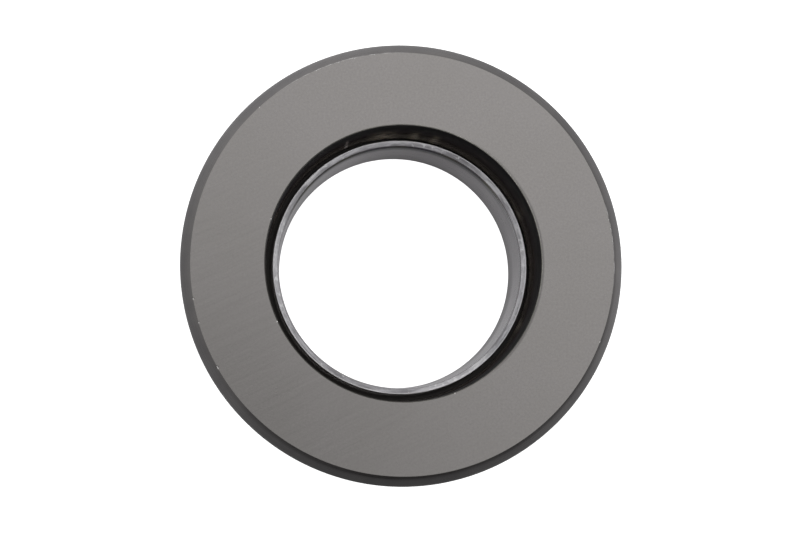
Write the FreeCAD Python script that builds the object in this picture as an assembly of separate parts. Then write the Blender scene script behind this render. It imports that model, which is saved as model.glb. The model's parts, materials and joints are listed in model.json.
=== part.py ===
import FreeCAD, Part
import math
import os

# Single-direction thrust ball bearing, in millimetres, +Z up.
# Origin: centre of the shaft washer's seat face. The shaft washer lies at the
# bottom, the housing washer on top, and a two-piece riveted cage with its
# balls runs between the two raceways.

V = FreeCAD.Vector

# ---- bearing envelope ----
BORE_R = 35.0                # shaft washer bore
OUTER_R = 62.5               # housing washer outside
HEIGHT = 40.0                # seat face to seat face
MID_Z = HEIGHT / 2

# ---- washers ----
SHAFT_OUTER_R = 62.2         # shaft washer outside, clears the housing seat
SEAT_BORE_CHAMFER = 1.5      # shaft washer bore at its seat face
HOUSING_BORE_R = 38.8        # clears shaft and collar
HOUSING_BORE_EDGE_R = 0.25   # rounding of the bore at the seat face
HOUSING_BORE_CHAMFER = 0.6   # bore at the raceway side
FACE_R = 59.4                # outer edge of each seat face
CORNER_R = 5.0               # large outer rounding beside the seat face
RIM_CORNER_R = 1.2           # small outer rounding on the raceway side

# ---- collar round the shaft washer's bore ----
COLLAR_R = 36.75
COLLAR_TOP_Z = 25.6
COLLAR_CHAMFER_R = 1.45      # bore chamfer at the top, radial
COLLAR_CHAMFER_Z = 1.8       # the same chamfer along the axis
COLLAR_BLEND_R = 2.0         # rounding between that chamfer and the bore
COLLAR_EDGE_R = 0.2          # rounding of the outer top edge
COLLAR_ROOT_R = 0.8          # fillet between collar and shoulder

# ---- balls ----
BALL_R = 25.4 * 11 / 16 / 2  # 11/16 inch balls
BALL_COUNT = 15
PITCH_R = 49.25              # ball centre circle
BALL_PLAY = 0.03             # gap between a ball and each raceway bottom

# ---- raceway groove, heights as in the shaft washer ----
GROOVE_R = 9.43              # about 0.54 of the ball diameter
GROOVE_DEPTH = 3.5           # below the shoulders
GROOVE_BREAK = 0.25          # edge break: its width on the shoulder
GROOVE_BREAK_INSET = 0.35 * GROOVE_BREAK    # its radial width inside the groove
GROOVE_BOTTOM_Z = MID_Z - BALL_R - BALL_PLAY
GROOVE_CENTRE_Z = GROOVE_BOTTOM_Z + GROOVE_R
SHOULDER_Z = GROOVE_BOTTOM_Z + GROOVE_DEPTH
GROOVE_HALF_WIDTH = math.sqrt(GROOVE_R ** 2 - (GROOVE_CENTRE_Z - SHOULDER_Z) ** 2)

# ---- cage ----
CAGE_IN_R = 38.8             # clears the collar
CAGE_OUT_R = 60.0
CAGE_H = 7.4                 # both halves together
CAGE_BOTTOM_Z = MID_Z - CAGE_H / 2
CAGE_TOP_Z = MID_Z + CAGE_H / 2
CAGE_CHAMFER = 0.5           # edges of the top and bottom faces
CAGE_SPLIT_BREAK = 0.15      # edge break at the joint of the halves
POCKET_R = 8.9               # spherical pockets

# ---- rivets, midway between the balls ----
RIVET_R = 1.5                # shank
RIVET_CIRCLE_R = 56.9
RIVET_HEAD_R = 2.4
RIVET_HEAD_H = 0.75
HOLE_OVERSHOOT = 1.0         # rivet hole cutter beyond each cage face


class Profile:
    """A closed outline of (r, z) points, turned about Z.

    A mirrored profile is drawn as if at the bottom of the bearing and comes
    out reflected in the middle plane.
    """

    def __init__(self, r, z, mirrored=False):
        self.first = self.last = (r, z)
        self.mirrored = mirrored
        self.edges = []

    def _vector(self, point):
        r, z = point
        return V(r, 0, HEIGHT - z if self.mirrored else z)

    def line(self, r, z):
        end = (r, z)
        if math.dist(self.last, end) > 1e-7:
            segment = Part.LineSegment(self._vector(self.last), self._vector(end))
            self.edges.append(segment.toShape())
        self.last = end

    def arc(self, middle, end):
        points = [self._vector(point) for point in (self.last, middle, end)]
        self.edges.append(Part.Arc(*points).toShape())
        self.last = end

    def arc_about(self, centre, end):
        """Go the short way round an arc with a known centre."""
        to_chord_r = (self.last[0] + end[0]) / 2 - centre[0]
        to_chord_z = (self.last[1] + end[1]) / 2 - centre[1]
        scale = math.dist(self.last, centre) / math.hypot(to_chord_r, to_chord_z)
        self.arc((centre[0] + to_chord_r * scale, centre[1] + to_chord_z * scale), end)

    def solid(self):
        self.line(*self.first)
        face = Part.Face(Part.Wire(self.edges))
        body = face.revolve(V(0, 0, 0), V(0, 0, 1), 360)
        # The outline's sense of travel can turn the solid inside out.
        if body.Volume < 0:
            body.reverse()
        return body


def on_circle(radius, position, z):
    """Point on a circle about Z; position counts ball spacings from +Y."""
    angle = math.radians(90 + position * 360 / BALL_COUNT)
    return V(radius * math.cos(angle), radius * math.sin(angle), z)


def ball_sphere(radius, position):
    """Sphere on the pitch circle with its poles along the bearing's radius."""
    return Part.makeSphere(
        radius, on_circle(PITCH_R, position, MID_Z), on_circle(1, position, 0))


def add_raceway_and_rim(profile, outer_r):
    """Draw what both washers share, from the inner shoulder to the seat face."""
    break_half_width = GROOVE_HALF_WIDTH - GROOVE_BREAK_INSET
    break_z = GROOVE_CENTRE_Z - math.sqrt(GROOVE_R ** 2 - break_half_width ** 2)
    profile.line(PITCH_R - GROOVE_HALF_WIDTH - GROOVE_BREAK, SHOULDER_Z)
    profile.line(PITCH_R - break_half_width, break_z)
    profile.arc((PITCH_R, GROOVE_BOTTOM_Z), (PITCH_R + break_half_width, break_z))
    profile.line(PITCH_R + GROOVE_HALF_WIDTH + GROOVE_BREAK, SHOULDER_Z)

    rim_r = outer_r - RIM_CORNER_R
    rim_z = SHOULDER_Z - RIM_CORNER_R
    profile.line(rim_r, SHOULDER_Z)
    profile.arc_about((rim_r, rim_z), (outer_r, rim_z))

    # The large corner leaves the cylinder tangentially and meets the seat at FACE_R.
    corner_r = outer_r - CORNER_R
    corner_z = math.sqrt(CORNER_R ** 2 - (FACE_R - corner_r) ** 2)
    profile.line(outer_r, corner_z)
    profile.arc_about((corner_r, corner_z), (FACE_R, 0))


def shaft_washer():
    """Lower washer: smaller bore, inner collar, raceway facing up."""
    profile = Profile(BORE_R + SEAT_BORE_CHAMFER, 0)
    profile.line(BORE_R, SEAT_BORE_CHAMFER)

    # Bore, blended into the collar's chamfer.
    chamfer_tilt = math.atan2(COLLAR_CHAMFER_R, COLLAR_CHAMFER_Z)
    tangent = COLLAR_BLEND_R * math.tan(chamfer_tilt / 2)
    chamfer_z = COLLAR_TOP_Z - COLLAR_CHAMFER_Z
    blend_z = chamfer_z - tangent
    profile.line(BORE_R, blend_z)
    profile.arc_about(
        (BORE_R + COLLAR_BLEND_R, blend_z),
        (BORE_R + tangent * math.sin(chamfer_tilt),
         chamfer_z + tangent * math.cos(chamfer_tilt)))
    profile.line(BORE_R + COLLAR_CHAMFER_R, COLLAR_TOP_Z)

    # Collar top edge and root.
    edge_r = COLLAR_R - COLLAR_EDGE_R
    edge_z = COLLAR_TOP_Z - COLLAR_EDGE_R
    profile.line(edge_r, COLLAR_TOP_Z)
    profile.arc_about((edge_r, edge_z), (COLLAR_R, edge_z))
    root_r = COLLAR_R + COLLAR_ROOT_R
    root_z = SHOULDER_Z + COLLAR_ROOT_R
    profile.line(COLLAR_R, root_z)
    profile.arc_about((root_r, root_z), (root_r, SHOULDER_Z))

    add_raceway_and_rim(profile, SHAFT_OUTER_R)
    return profile.solid()


def housing_washer():
    """Upper washer: larger bore, raceway facing down."""
    edge_r = HOUSING_BORE_R + HOUSING_BORE_EDGE_R
    profile = Profile(edge_r, 0, mirrored=True)
    profile.arc_about((edge_r, HOUSING_BORE_EDGE_R), (HOUSING_BORE_R, HOUSING_BORE_EDGE_R))
    profile.line(HOUSING_BORE_R, SHOULDER_Z - HOUSING_BORE_CHAMFER)
    profile.line(HOUSING_BORE_R + HOUSING_BORE_CHAMFER, SHOULDER_Z)
    add_raceway_and_rim(profile, OUTER_R)
    return profile.solid()


def cage_half(upper):
    """Solid ring with ball pockets and rivet holes, split at the middle plane."""
    profile = Profile(CAGE_IN_R + CAGE_SPLIT_BREAK, MID_Z, mirrored=upper)
    profile.line(CAGE_OUT_R - CAGE_SPLIT_BREAK, MID_Z)
    profile.line(CAGE_OUT_R, MID_Z - CAGE_SPLIT_BREAK)
    profile.line(CAGE_OUT_R, CAGE_BOTTOM_Z + CAGE_CHAMFER)
    profile.line(CAGE_OUT_R - CAGE_CHAMFER, CAGE_BOTTOM_Z)
    profile.line(CAGE_IN_R + CAGE_CHAMFER, CAGE_BOTTOM_Z)
    profile.line(CAGE_IN_R, CAGE_BOTTOM_Z + CAGE_CHAMFER)
    profile.line(CAGE_IN_R, MID_Z - CAGE_SPLIT_BREAK)

    cutters = []
    for i in range(BALL_COUNT):
        cutters.append(ball_sphere(POCKET_R, i))
        hole_base = on_circle(RIVET_CIRCLE_R, i + 0.5, CAGE_BOTTOM_Z - HOLE_OVERSHOOT)
        cutters.append(Part.makeCylinder(RIVET_R, CAGE_H + 2 * HOLE_OVERSHOOT, hole_base))
    return profile.solid().cut(cutters).Solids[0]


def rivet(i):
    """Shank through both cage halves with a low domed head at each end."""
    dome_r = (RIVET_HEAD_R ** 2 + RIVET_HEAD_H ** 2) / (2 * RIVET_HEAD_H)
    lower_tip_z = CAGE_BOTTOM_Z - RIVET_HEAD_H
    upper_tip_z = CAGE_TOP_Z + RIVET_HEAD_H
    profile = Profile(0, lower_tip_z)
    profile.arc_about((0, lower_tip_z + dome_r), (RIVET_HEAD_R, CAGE_BOTTOM_Z))
    profile.line(RIVET_R, CAGE_BOTTOM_Z)
    profile.line(RIVET_R, CAGE_TOP_Z)
    profile.line(RIVET_HEAD_R, CAGE_TOP_Z)
    profile.arc_about((0, upper_tip_z - dome_r), (0, upper_tip_z))
    body = profile.solid()
    body.translate(on_circle(RIVET_CIRCLE_R, i + 0.5, 0))
    return body


def save(name, shape):
    if not shape.isValid():
        raise ValueError(name + " is not a valid shape")
    shape.exportStep("parts/" + name + ".step")


os.makedirs("parts", exist_ok=True)
save("housing_washer", housing_washer())
save("shaft_washer", shaft_washer())
save("cage_upper_half", cage_half(upper=True))
save("cage_lower_half", cage_half(upper=False))
save("cage_rivets", Part.makeCompound([rivet(i) for i in range(BALL_COUNT)]))
for i in range(BALL_COUNT):
    save(f"ball_{i + 1:02d}", ball_sphere(BALL_R, i))
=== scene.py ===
"""Thrust ball bearing lying flat: its axis is Z and its lower seat face is at z = 0.

The shaft washer with its bore collar is below, the housing washer above, and between
them a ring of balls runs in a riveted two-part brass cage.
Dimensions are in mm unless noted; MM turns them into metres. Angles are in degrees from +X.
"""
import json
import math
from functools import cached_property, reduce

import bmesh
import bpy
import numpy as np
from mathutils import Matrix, Vector

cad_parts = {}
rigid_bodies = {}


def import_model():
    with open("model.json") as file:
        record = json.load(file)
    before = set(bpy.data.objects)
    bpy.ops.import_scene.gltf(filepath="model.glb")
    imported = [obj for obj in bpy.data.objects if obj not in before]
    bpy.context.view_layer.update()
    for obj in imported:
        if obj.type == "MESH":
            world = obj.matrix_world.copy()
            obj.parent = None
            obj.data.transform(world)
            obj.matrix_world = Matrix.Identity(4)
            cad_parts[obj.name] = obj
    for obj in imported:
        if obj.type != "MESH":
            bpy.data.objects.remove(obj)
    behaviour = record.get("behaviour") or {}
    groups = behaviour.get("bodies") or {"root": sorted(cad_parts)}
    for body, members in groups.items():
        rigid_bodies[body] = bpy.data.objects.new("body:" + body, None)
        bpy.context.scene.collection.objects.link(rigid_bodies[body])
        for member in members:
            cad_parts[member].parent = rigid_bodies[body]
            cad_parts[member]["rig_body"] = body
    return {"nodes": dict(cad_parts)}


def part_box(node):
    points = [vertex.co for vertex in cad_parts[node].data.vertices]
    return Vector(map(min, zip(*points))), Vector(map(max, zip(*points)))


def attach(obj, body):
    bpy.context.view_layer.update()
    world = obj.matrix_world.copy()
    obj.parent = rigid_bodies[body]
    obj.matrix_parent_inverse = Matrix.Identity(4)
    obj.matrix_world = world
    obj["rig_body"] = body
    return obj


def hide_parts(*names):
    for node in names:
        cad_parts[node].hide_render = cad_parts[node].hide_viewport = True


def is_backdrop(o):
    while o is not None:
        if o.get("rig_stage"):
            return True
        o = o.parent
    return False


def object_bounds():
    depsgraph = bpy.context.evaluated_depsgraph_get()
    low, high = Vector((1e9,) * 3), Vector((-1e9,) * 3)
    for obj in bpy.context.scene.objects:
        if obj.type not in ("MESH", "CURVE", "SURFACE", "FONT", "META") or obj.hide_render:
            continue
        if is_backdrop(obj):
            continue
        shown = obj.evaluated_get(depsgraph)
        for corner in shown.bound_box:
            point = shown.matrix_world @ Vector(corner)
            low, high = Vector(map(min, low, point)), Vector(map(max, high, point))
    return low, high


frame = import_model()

CAD_LO, CAD_HI = (Vector(v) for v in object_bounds())
MM = 0.001

# ---------------------------------------------------------------- driving dimensions
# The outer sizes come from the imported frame.
HOUSING_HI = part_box("housing_washer")[1]
SHAFT_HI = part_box("shaft_washer")[1]
CAGE_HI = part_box("cage_upper_half")[1]

HEIGHT = round(CAD_HI.z / MM, 3)
MID = HEIGHT / 2
OUTER_R = round(HOUSING_HI.x / MM, 2)
SHAFT_OUTER_R = round(SHAFT_HI.x / MM, 2)
COLLAR_TOP = round(SHAFT_HI.z / MM, 2)
CAGE_TOP = round(CAGE_HI.z / MM, 2)
CAGE_OUT_R = round(CAGE_HI.x / MM, 1)
CAGE_HALF = CAGE_TOP - MID

# washers
BORE_R = 35.0
BOTTOM_CHAMFER = 1.5
HOUSING_BORE_R = 38.8
HOUSING_EDGE = 0.25             # rounding of the bore's edge at the seat face
HOUSING_INNER_CHAMFER = 0.6
FACE_R = 59.4                   # outer edge of both seat faces
CORNER_R = 5.0
RIM_R = 1.2

# collar of the shaft washer
COLLAR_R = 36.75
COLLAR_CHAMFER_R, COLLAR_CHAMFER_Z = 1.45, 1.8
COLLAR_EDGE_R = 0.2
COLLAR_FOOT_R = 0.8
BLEND_R = 2.0                   # rounding between the collar's chamfer and the bore
CHAMFER_SLOPE = math.degrees(math.atan2(COLLAR_CHAMFER_R, COLLAR_CHAMFER_Z))
BLEND_LENGTH = BLEND_R * math.tan(math.radians(CHAMFER_SLOPE / 2))

# balls and raceways
PITCH_R = 49.25
BALL_R = 17.4625 / 2
BALL_GAP = 0.03
GROOVE_R = 9.43
GROOVE_DEPTH = 3.5
GROOVE_BOTTOM = MID - BALL_R - BALL_GAP
GROOVE_CENTRE_Z = GROOVE_BOTTOM + GROOVE_R
SHOULDER = GROOVE_BOTTOM + GROOVE_DEPTH
GROOVE_HALF = math.sqrt(GROOVE_R ** 2 - (GROOVE_CENTRE_Z - SHOULDER) ** 2)
GROOVE_EDGE_IN, GROOVE_EDGE_OUT = 0.0875, 0.25  # small break at the groove's edge

# cage and rivets
CAGE_IN_R = 38.8
CAGE_CHAMFER = 0.5
CAGE_JOINT_CHAMFER = 0.15
POCKET_R = 8.9
POCKET_FLARE = 0.16
RIVET_CIRCLE_R = 56.9
RIVET_R = 1.5
RIVET_HOLE_R = 1.53
RIVET_HEAD_R, RIVET_HEAD_H = 2.4, 0.75

BALLS = sorted(name for name in frame["nodes"] if name.startswith("ball_"))


# ---------------------------------------------------------------- mesh tools
def add_object(name, data):
    ob = bpy.data.objects.new(name, data)
    bpy.context.scene.collection.objects.link(ob)
    return ob


def shade_smooth(mesh):
    mesh.polygons.foreach_set("use_smooth", np.ones(len(mesh.polygons), bool))


def arc(centre, radius, start, end, steps, mat):
    """Points (r, z, material) of an arc; each material is for the segment after its point."""
    points = []
    for i in range(steps + 1):
        angle = math.radians(start + (end - start) * i / steps)
        points.append((centre[0] + radius * math.cos(angle),
                       centre[1] + radius * math.sin(angle), mat))
    return points


def outline(parts, pad=0.07, spacing=4.0, shortest=0.6, same=1e-5):
    """Closed outline from points and arcs.

    Runs longer than shortest get support loops at pad from their ends and even divisions.
    """
    points = []
    for part in parts:
        points += part if isinstance(part, list) else [part]
    clean = [points[0]]
    for p in points[1:]:
        if math.hypot(p[0] - clean[-1][0], p[1] - clean[-1][1]) > same:
            clean.append(p)
        else:
            clean[-1] = (clean[-1][0], clean[-1][1], p[2])
    if math.hypot(clean[0][0] - clean[-1][0], clean[0][1] - clean[-1][1]) < same:
        clean.pop()
    result = []
    for i, (r, z, mat) in enumerate(clean):
        next_r, next_z, _ = clean[(i + 1) % len(clean)]
        result.append((r, z, mat))
        length = math.hypot(next_r - r, next_z - z)
        if length <= shortest:
            continue
        count = max(1, int(round(length / spacing)))
        stops = {pad / length, 1 - pad / length, *(k / count for k in range(1, count))}
        kept = []
        for stop in sorted(s for s in stops if 0 < s < 1):
            if not kept or (stop - kept[-1]) * length > pad * 0.6:
                kept.append(stop)
        result += [(r + (next_r - r) * s, z + (next_z - z) * s, mat) for s in kept]
    return result


def ring_angles(count, marks=(), per_mark=11, closest=0.02):
    """Even angles round the ring in radians, with more within each mark (angle, half width)."""
    angles = list(np.arange(count) * 360.0 / count)
    for at, half in marks:
        angles += list(at + half * np.linspace(-1, 1, per_mark))
    kept = []
    for angle in sorted(set(round(a % 360.0, 4) for a in angles)):
        if not kept or angle - kept[-1] > closest:
            kept.append(angle)
    return np.radians(np.array(kept))


def lathe(name, profile, mats, angles, shape=None):
    """Turns a closed outline about Z into a quad ring. shape(r, z, angle) may move r and z."""
    r = np.array([p[0] for p in profile])
    z = np.array([p[1] for p in profile])
    ring_r, ring_a = np.meshgrid(r, angles, indexing="ij")
    ring_z, _ = np.meshgrid(z, angles, indexing="ij")
    if shape is not None:
        ring_r, ring_z = shape(ring_r, ring_z, ring_a)
    places = np.stack([ring_r * np.cos(ring_a), ring_r * np.sin(ring_a), ring_z], -1)
    rows, columns = len(profile), len(angles)
    i, j = np.meshgrid(np.arange(rows), np.arange(columns), indexing="ij")
    i2, j2 = (i + 1) % rows, (j + 1) % columns
    quads = np.stack([i * columns + j, i * columns + j2,
                      i2 * columns + j2, i2 * columns + j], -1).reshape(-1, 4)
    # give every outline the same winding, whichever way round it was drawn
    area = 0.5 * np.sum(r * np.roll(z, -1) - np.roll(r, -1) * z)
    if area > 0:
        quads = quads[:, ::-1]
    mesh = bpy.data.meshes.new(name)
    mesh.from_pydata((places.reshape(-1, 3) * MM).tolist(), [], quads.tolist())
    for mat in mats:
        mesh.materials.append(MATERIALS[mat])
    slots = np.repeat(np.array([mats.index(p[2]) for p in profile], np.int32), columns)
    mesh.polygons.foreach_set("material_index", slots)
    shade_smooth(mesh)
    mesh.update()
    # then turn the faces outward
    bm = bmesh.new()
    bm.from_mesh(mesh)
    if bm.calc_volume(signed=True) < 0:
        bmesh.ops.reverse_faces(bm, faces=bm.faces)
        bm.to_mesh(mesh)
    bm.free()
    return add_object(name, mesh)


def add_turned(bm, profile, segments, centre=(0.0, 0.0)):
    """Adds a body turned about a vertical axis at centre, closed at both ends on the axis."""
    rows = []
    for r, z in profile:
        if r < 1e-6:
            rows.append([bm.verts.new((centre[0] * MM, centre[1] * MM, z * MM))])
            continue
        row = []
        for k in range(segments):
            angle = 2 * math.pi * k / segments
            row.append(bm.verts.new(((centre[0] + r * math.cos(angle)) * MM,
                                     (centre[1] + r * math.sin(angle)) * MM, z * MM)))
        rows.append(row)
    for low, high in zip(rows, rows[1:]):
        for k in range(segments):
            k2 = (k + 1) % segments
            if len(low) == 1:
                bm.faces.new((low[0], high[k2], high[k]))
            elif len(high) == 1:
                bm.faces.new((low[k], low[k2], high[0]))
            else:
                bm.faces.new((low[k], low[k2], high[k2], high[k]))


def to_object(name, bm, mat):
    bmesh.ops.recalc_face_normals(bm, faces=bm.faces)
    mesh = bpy.data.meshes.new(name)
    bm.to_mesh(mesh)
    bm.free()
    mesh.materials.append(MATERIALS[mat])
    shade_smooth(mesh)
    return add_object(name, mesh)


def mark_sharp(mesh, degrees, weld=None):
    """Makes edges sharper than an angle crisp, after welding points within weld metres."""
    bm = bmesh.new()
    bm.from_mesh(mesh)
    if weld is not None:
        bmesh.ops.remove_doubles(bm, verts=bm.verts, dist=weld)
    limit = math.radians(degrees)
    for edge in bm.edges:
        edge.smooth = not (len(edge.link_faces) == 2 and edge.calc_face_angle(0) > limit)
    bm.to_mesh(mesh)
    bm.free()


# ---------------------------------------------------------------- node tools
NOISE_SPAN = (0.3, 0.7)     # where most of a noise's values lie


class Tree:
    """Short calls for building a node tree."""

    def __init__(self, tree):
        self.tree = tree
        tree.nodes.clear()

    def new(self, kind, **props):
        node = self.tree.nodes.new(kind)
        for key, value in props.items():
            setattr(node, key, value)
        return node

    def put(self, socket, value):
        """Links an output to a socket, or sets its value."""
        if hasattr(value, "node"):
            self.tree.links.new(value, socket)
        elif value is not None:
            socket.default_value = value

    def make(self, kind, *values, **props):
        """New node with its first inputs filled; returns its first output."""
        node = self.new(kind, **props)
        for socket, value in zip(node.inputs, values):
            self.put(socket, value)
        return node.outputs[0]

    def math(self, op, *values, clamp=False):
        return self.make("ShaderNodeMath", *values, operation=op, use_clamp=clamp)

    def add(self, *terms):
        return reduce(lambda a, b: self.math("ADD", a, b), terms)

    def mul(self, *terms):
        return reduce(lambda a, b: self.math("MULTIPLY", a, b), terms)

    def most(self, *terms):
        return reduce(lambda a, b: self.math("MAXIMUM", a, b), terms)

    def sub(self, a, b, clamp=False):
        return self.math("SUBTRACT", a, b, clamp=clamp)

    def gap(self, value, at):
        """Distance of a value from at."""
        return self.math("ABSOLUTE", self.sub(value, at))

    def less(self, mask, amount):
        """1 - mask * amount."""
        return self.sub(1.0, self.mul(mask, amount))

    def hypot(self, x, y):
        return self.math("SQRT", self.add(self.mul(x, x), self.mul(y, y)))

    def degrees(self, y, x):
        return self.mul(self.math("ARCTAN2", y, x), 180 / math.pi)

    def scale(self, vector, factor):
        node = self.new("ShaderNodeVectorMath", operation="SCALE")
        self.put(node.inputs[0], vector)
        self.put(node.inputs["Scale"], factor)
        return node.outputs[0]

    def dot(self, vector, fixed):
        node = self.new("ShaderNodeVectorMath", operation="DOT_PRODUCT")
        self.put(node.inputs[0], vector)
        self.put(node.inputs[1], fixed)
        return node.outputs["Value"]

    def xyz(self, vector):
        node = self.new("ShaderNodeSeparateXYZ")
        self.put(node.inputs[0], vector)
        return node.outputs

    def join(self, x, y, z):
        return self.make("ShaderNodeCombineXYZ", x, y, z)

    def ramp(self, value, over=NOISE_SPAN, to=(0.0, 1.0), kind="SMOOTHSTEP"):
        """Takes the range over to the range to, with soft ends."""
        node = self.new("ShaderNodeMapRange", interpolation_type=kind)
        names = ("Value", "From Min", "From Max", "To Min", "To Max")
        for name, item in zip(names, (value, *over, *to)):
            self.put(node.inputs[name], item)
        return node.outputs[0]

    def linear(self, value, to, over=NOISE_SPAN):
        return self.ramp(value, over=over, to=to, kind="LINEAR")

    def noise(self, vector, scale, detail, rough):
        node = self.new("ShaderNodeTexNoise")
        self.put(node.inputs["Vector"], vector)
        self.put(node.inputs["Scale"], scale)
        self.put(node.inputs["Detail"], detail)
        self.put(node.inputs["Roughness"], rough)
        return node.outputs["Fac"]

    def mix(self, factor, first, second):
        """Blends two colours, each an output or an RGB tuple."""
        node = self.new("ShaderNodeMix", data_type="RGBA")
        self.put(node.inputs[0], factor)
        for socket, colour in ((node.inputs[6], first), (node.inputs[7], second)):
            self.put(socket, (*colour, 1.0) if isinstance(colour, tuple) else colour)
        return node.outputs[2]

    def bump(self, height, strength, distance):
        """Bump normal; distance is in metres."""
        node = self.new("ShaderNodeBump")
        self.put(node.inputs["Height"], height)
        self.put(node.inputs["Strength"], strength)
        self.put(node.inputs["Distance"], distance)
        return node.outputs[0]

    def to_space(self, vector, source, target):
        return self.make("ShaderNodeVectorTransform", vector, vector_type="VECTOR",
                         convert_from=source, convert_to=target)

    def overhead(self, view_axis):
        """1 for a camera looking nearly straight down or up, 0 for a low one."""
        look = self.xyz(self.to_space(view_axis, "CAMERA", "WORLD"))[2]
        return self.ramp(self.math("ABSOLUTE", look), over=(0.80, 0.95))


class Surface(Tree):
    """A Principled material, with ring coordinates in mm that are made when first used."""

    def __init__(self, name):
        material = bpy.data.materials.new(name)
        material.use_nodes = True
        super().__init__(material.node_tree)
        out = self.new("ShaderNodeOutputMaterial")
        self.bsdf = self.new("ShaderNodeBsdfPrincipled")
        self.put(out.inputs[0], self.bsdf.outputs[0])
        MATERIALS[name] = material

    @cached_property
    def pos(self):
        return self.scale(self.new("ShaderNodeTexCoord").outputs["Object"], 1000.0)

    @cached_property
    def parts(self):
        return self.xyz(self.pos)

    @cached_property
    def r(self):
        return self.hypot(self.parts[0], self.parts[1])

    @cached_property
    def z(self):
        return self.parts[2]

    @cached_property
    def ux(self):
        """X of the unit vector out from the axis."""
        return self.math("DIVIDE", self.parts[0], self.r)

    @cached_property
    def uy(self):
        return self.math("DIVIDE", self.parts[1], self.r)

    @cached_property
    def angle(self):
        """Degrees round the ring, -180 to 180."""
        return self.degrees(self.uy, self.ux)

    def lines(self, key, around, detail, rough):
        """Noise that changes with key, and round the ring by around."""
        place = self.join(key, self.mul(self.ux, around), self.mul(self.uy, around))
        return self.noise(place, scale=1.0, detail=detail, rough=rough)

    def patches(self, around, key, detail, rough):
        """The same with its axes in another order, for marks that mostly run across."""
        place = self.join(self.mul(self.ux, around), self.mul(self.uy, around), key)
        return self.noise(place, scale=1.0, detail=detail, rough=rough)

    def sector(self, *ends):
        """A sector of the ring. Each end is the angle of no effect, then of full effect."""
        return self.mul(*(self.ramp(self.angle, over=end) for end in ends))

    def finish(self, colour, metallic, roughness, normal=None):
        inputs = self.bsdf.inputs
        self.put(inputs["Base Color"], colour)
        self.put(inputs["Metallic"], metallic)
        self.put(inputs["Roughness"], roughness)
        self.put(inputs["Normal"], normal)


# ---------------------------------------------------------------- materials
MATERIALS = {}
# painted warm glints on the inner walls: angle, half width, amount
WARM_GLINTS = [(97.0, 9.0, 1.0), (83.5, 3.6, 0.9), (74.5, 3.0, 0.8),
           (158.0, 4.0, 0.35), (24.0, 3.5, 0.30), (-26.0, 5.0, 0.40)]
# angle of a painted light streak down the inner walls
LIGHT_STREAK_ANGLE = 113.5
TURNED_METAL = 0.5      # torn tool marks scatter part of the light like a matt surface


def warm_glint_mask(mat, per_mm):
    """Soft painted glints broken up by a noise that changes by per_mm up the wall."""
    broken = mat.patches(14.0, mat.mul(mat.z, per_mm), detail=2.0, rough=0.55)
    total = 0.0
    for at, half, amount in WARM_GLINTS:
        spot = mat.ramp(mat.gap(mat.angle, at), over=(half, 0.0), to=(0.0, amount))
        total = mat.add(total, spot)
    return mat.mul(total, mat.ramp(broken, over=(0.34, 0.60), to=(0.15, 1.0)))


def nick_glint_steel():
    """Bare metal inside a nick, with a painted glint: bright and a little rough."""
    mat = Surface("nick_glint_steel")
    tone = mat.noise(mat.pos, scale=4.0, detail=2.0, rough=0.6)
    colour = mat.mix(tone, (0.80, 0.79, 0.78), (0.95, 0.94, 0.93))
    mat.finish(colour, metallic=0.5, roughness=0.35)


def ground_face():
    """Seat face: ground steel with fine grain, straight grinding lines and soft clouding."""
    mat = Surface("ground_face")
    x, y = mat.parts[0], mat.parts[1]
    cos_lay, sin_lay = 0.906, 0.423     # direction of the grinding lines
    along = mat.add(mat.mul(x, cos_lay), mat.mul(y, sin_lay))
    across = mat.sub(mat.mul(y, cos_lay), mat.mul(x, sin_lay))
    lines = mat.noise(mat.join(mat.mul(along, 0.030), mat.mul(across, 0.75), 0.0),
                      scale=1.0, detail=2.5, rough=0.55)
    hair = mat.noise(mat.join(mat.mul(along, 0.07), mat.mul(across, 2.4), 3.0),
                     scale=1.0, detail=1.0, rough=0.5)
    radial = mat.patches(30.0, mat.mul(mat.r, 0.03), detail=3.0, rough=0.6)
    cloud = mat.noise(mat.pos, scale=0.055, detail=3.0, rough=0.55)
    grain = mat.noise(mat.pos, scale=1.5, detail=3.0, rough=0.65)
    even = (0.25, 0.75)
    # the lines show most towards -X -Y, where the light comes across them
    facing = mat.add(mat.mul(mat.ux, -0.82), mat.mul(mat.uy, -0.57))
    side = mat.ramp(facing, over=(-0.3, 1.0), to=(0.15, 1.0))
    streak = mat.add(mat.linear(lines, over=even, to=(-0.028, 0.028)),
                     mat.linear(hair, over=even, to=(-0.026, 0.026)))
    fleck = mat.mul(mat.linear(grain, over=even, to=(-0.085, 0.085)), mat.less(side, 0.40))
    shade = mat.add(mat.mul(streak, side), mat.add(fleck, 1.0))
    shade = mat.add(shade, mat.linear(radial, over=even, to=(-0.010, 0.010)))
    # painted shade: the face darkens softly into part of the housing washer's bore edge
    near_bore = mat.mul(mat.ramp(mat.r, over=(HOUSING_BORE_R + 0.95, HOUSING_BORE_R + 0.40)),
                        mat.ramp(mat.z, over=(30.0, 35.0)))
    soft = mat.mul(mat.sector((-60.0, -34.0), (78.0, 14.0)), near_bore)
    shade = mat.mul(shade, mat.less(soft, 0.36))
    warm = mat.mix(mat.ramp(cloud), (0.560, 0.543, 0.532), (0.570, 0.552, 0.545))
    mat.finish(mat.scale(warm, shade), metallic=1.0,
               roughness=mat.add(mat.linear(lines, to=(0.242, 0.258)),
                                 mat.linear(grain, to=(-0.008, 0.008))),
               normal=mat.bump(grain, strength=0.014, distance=0.00004))


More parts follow.
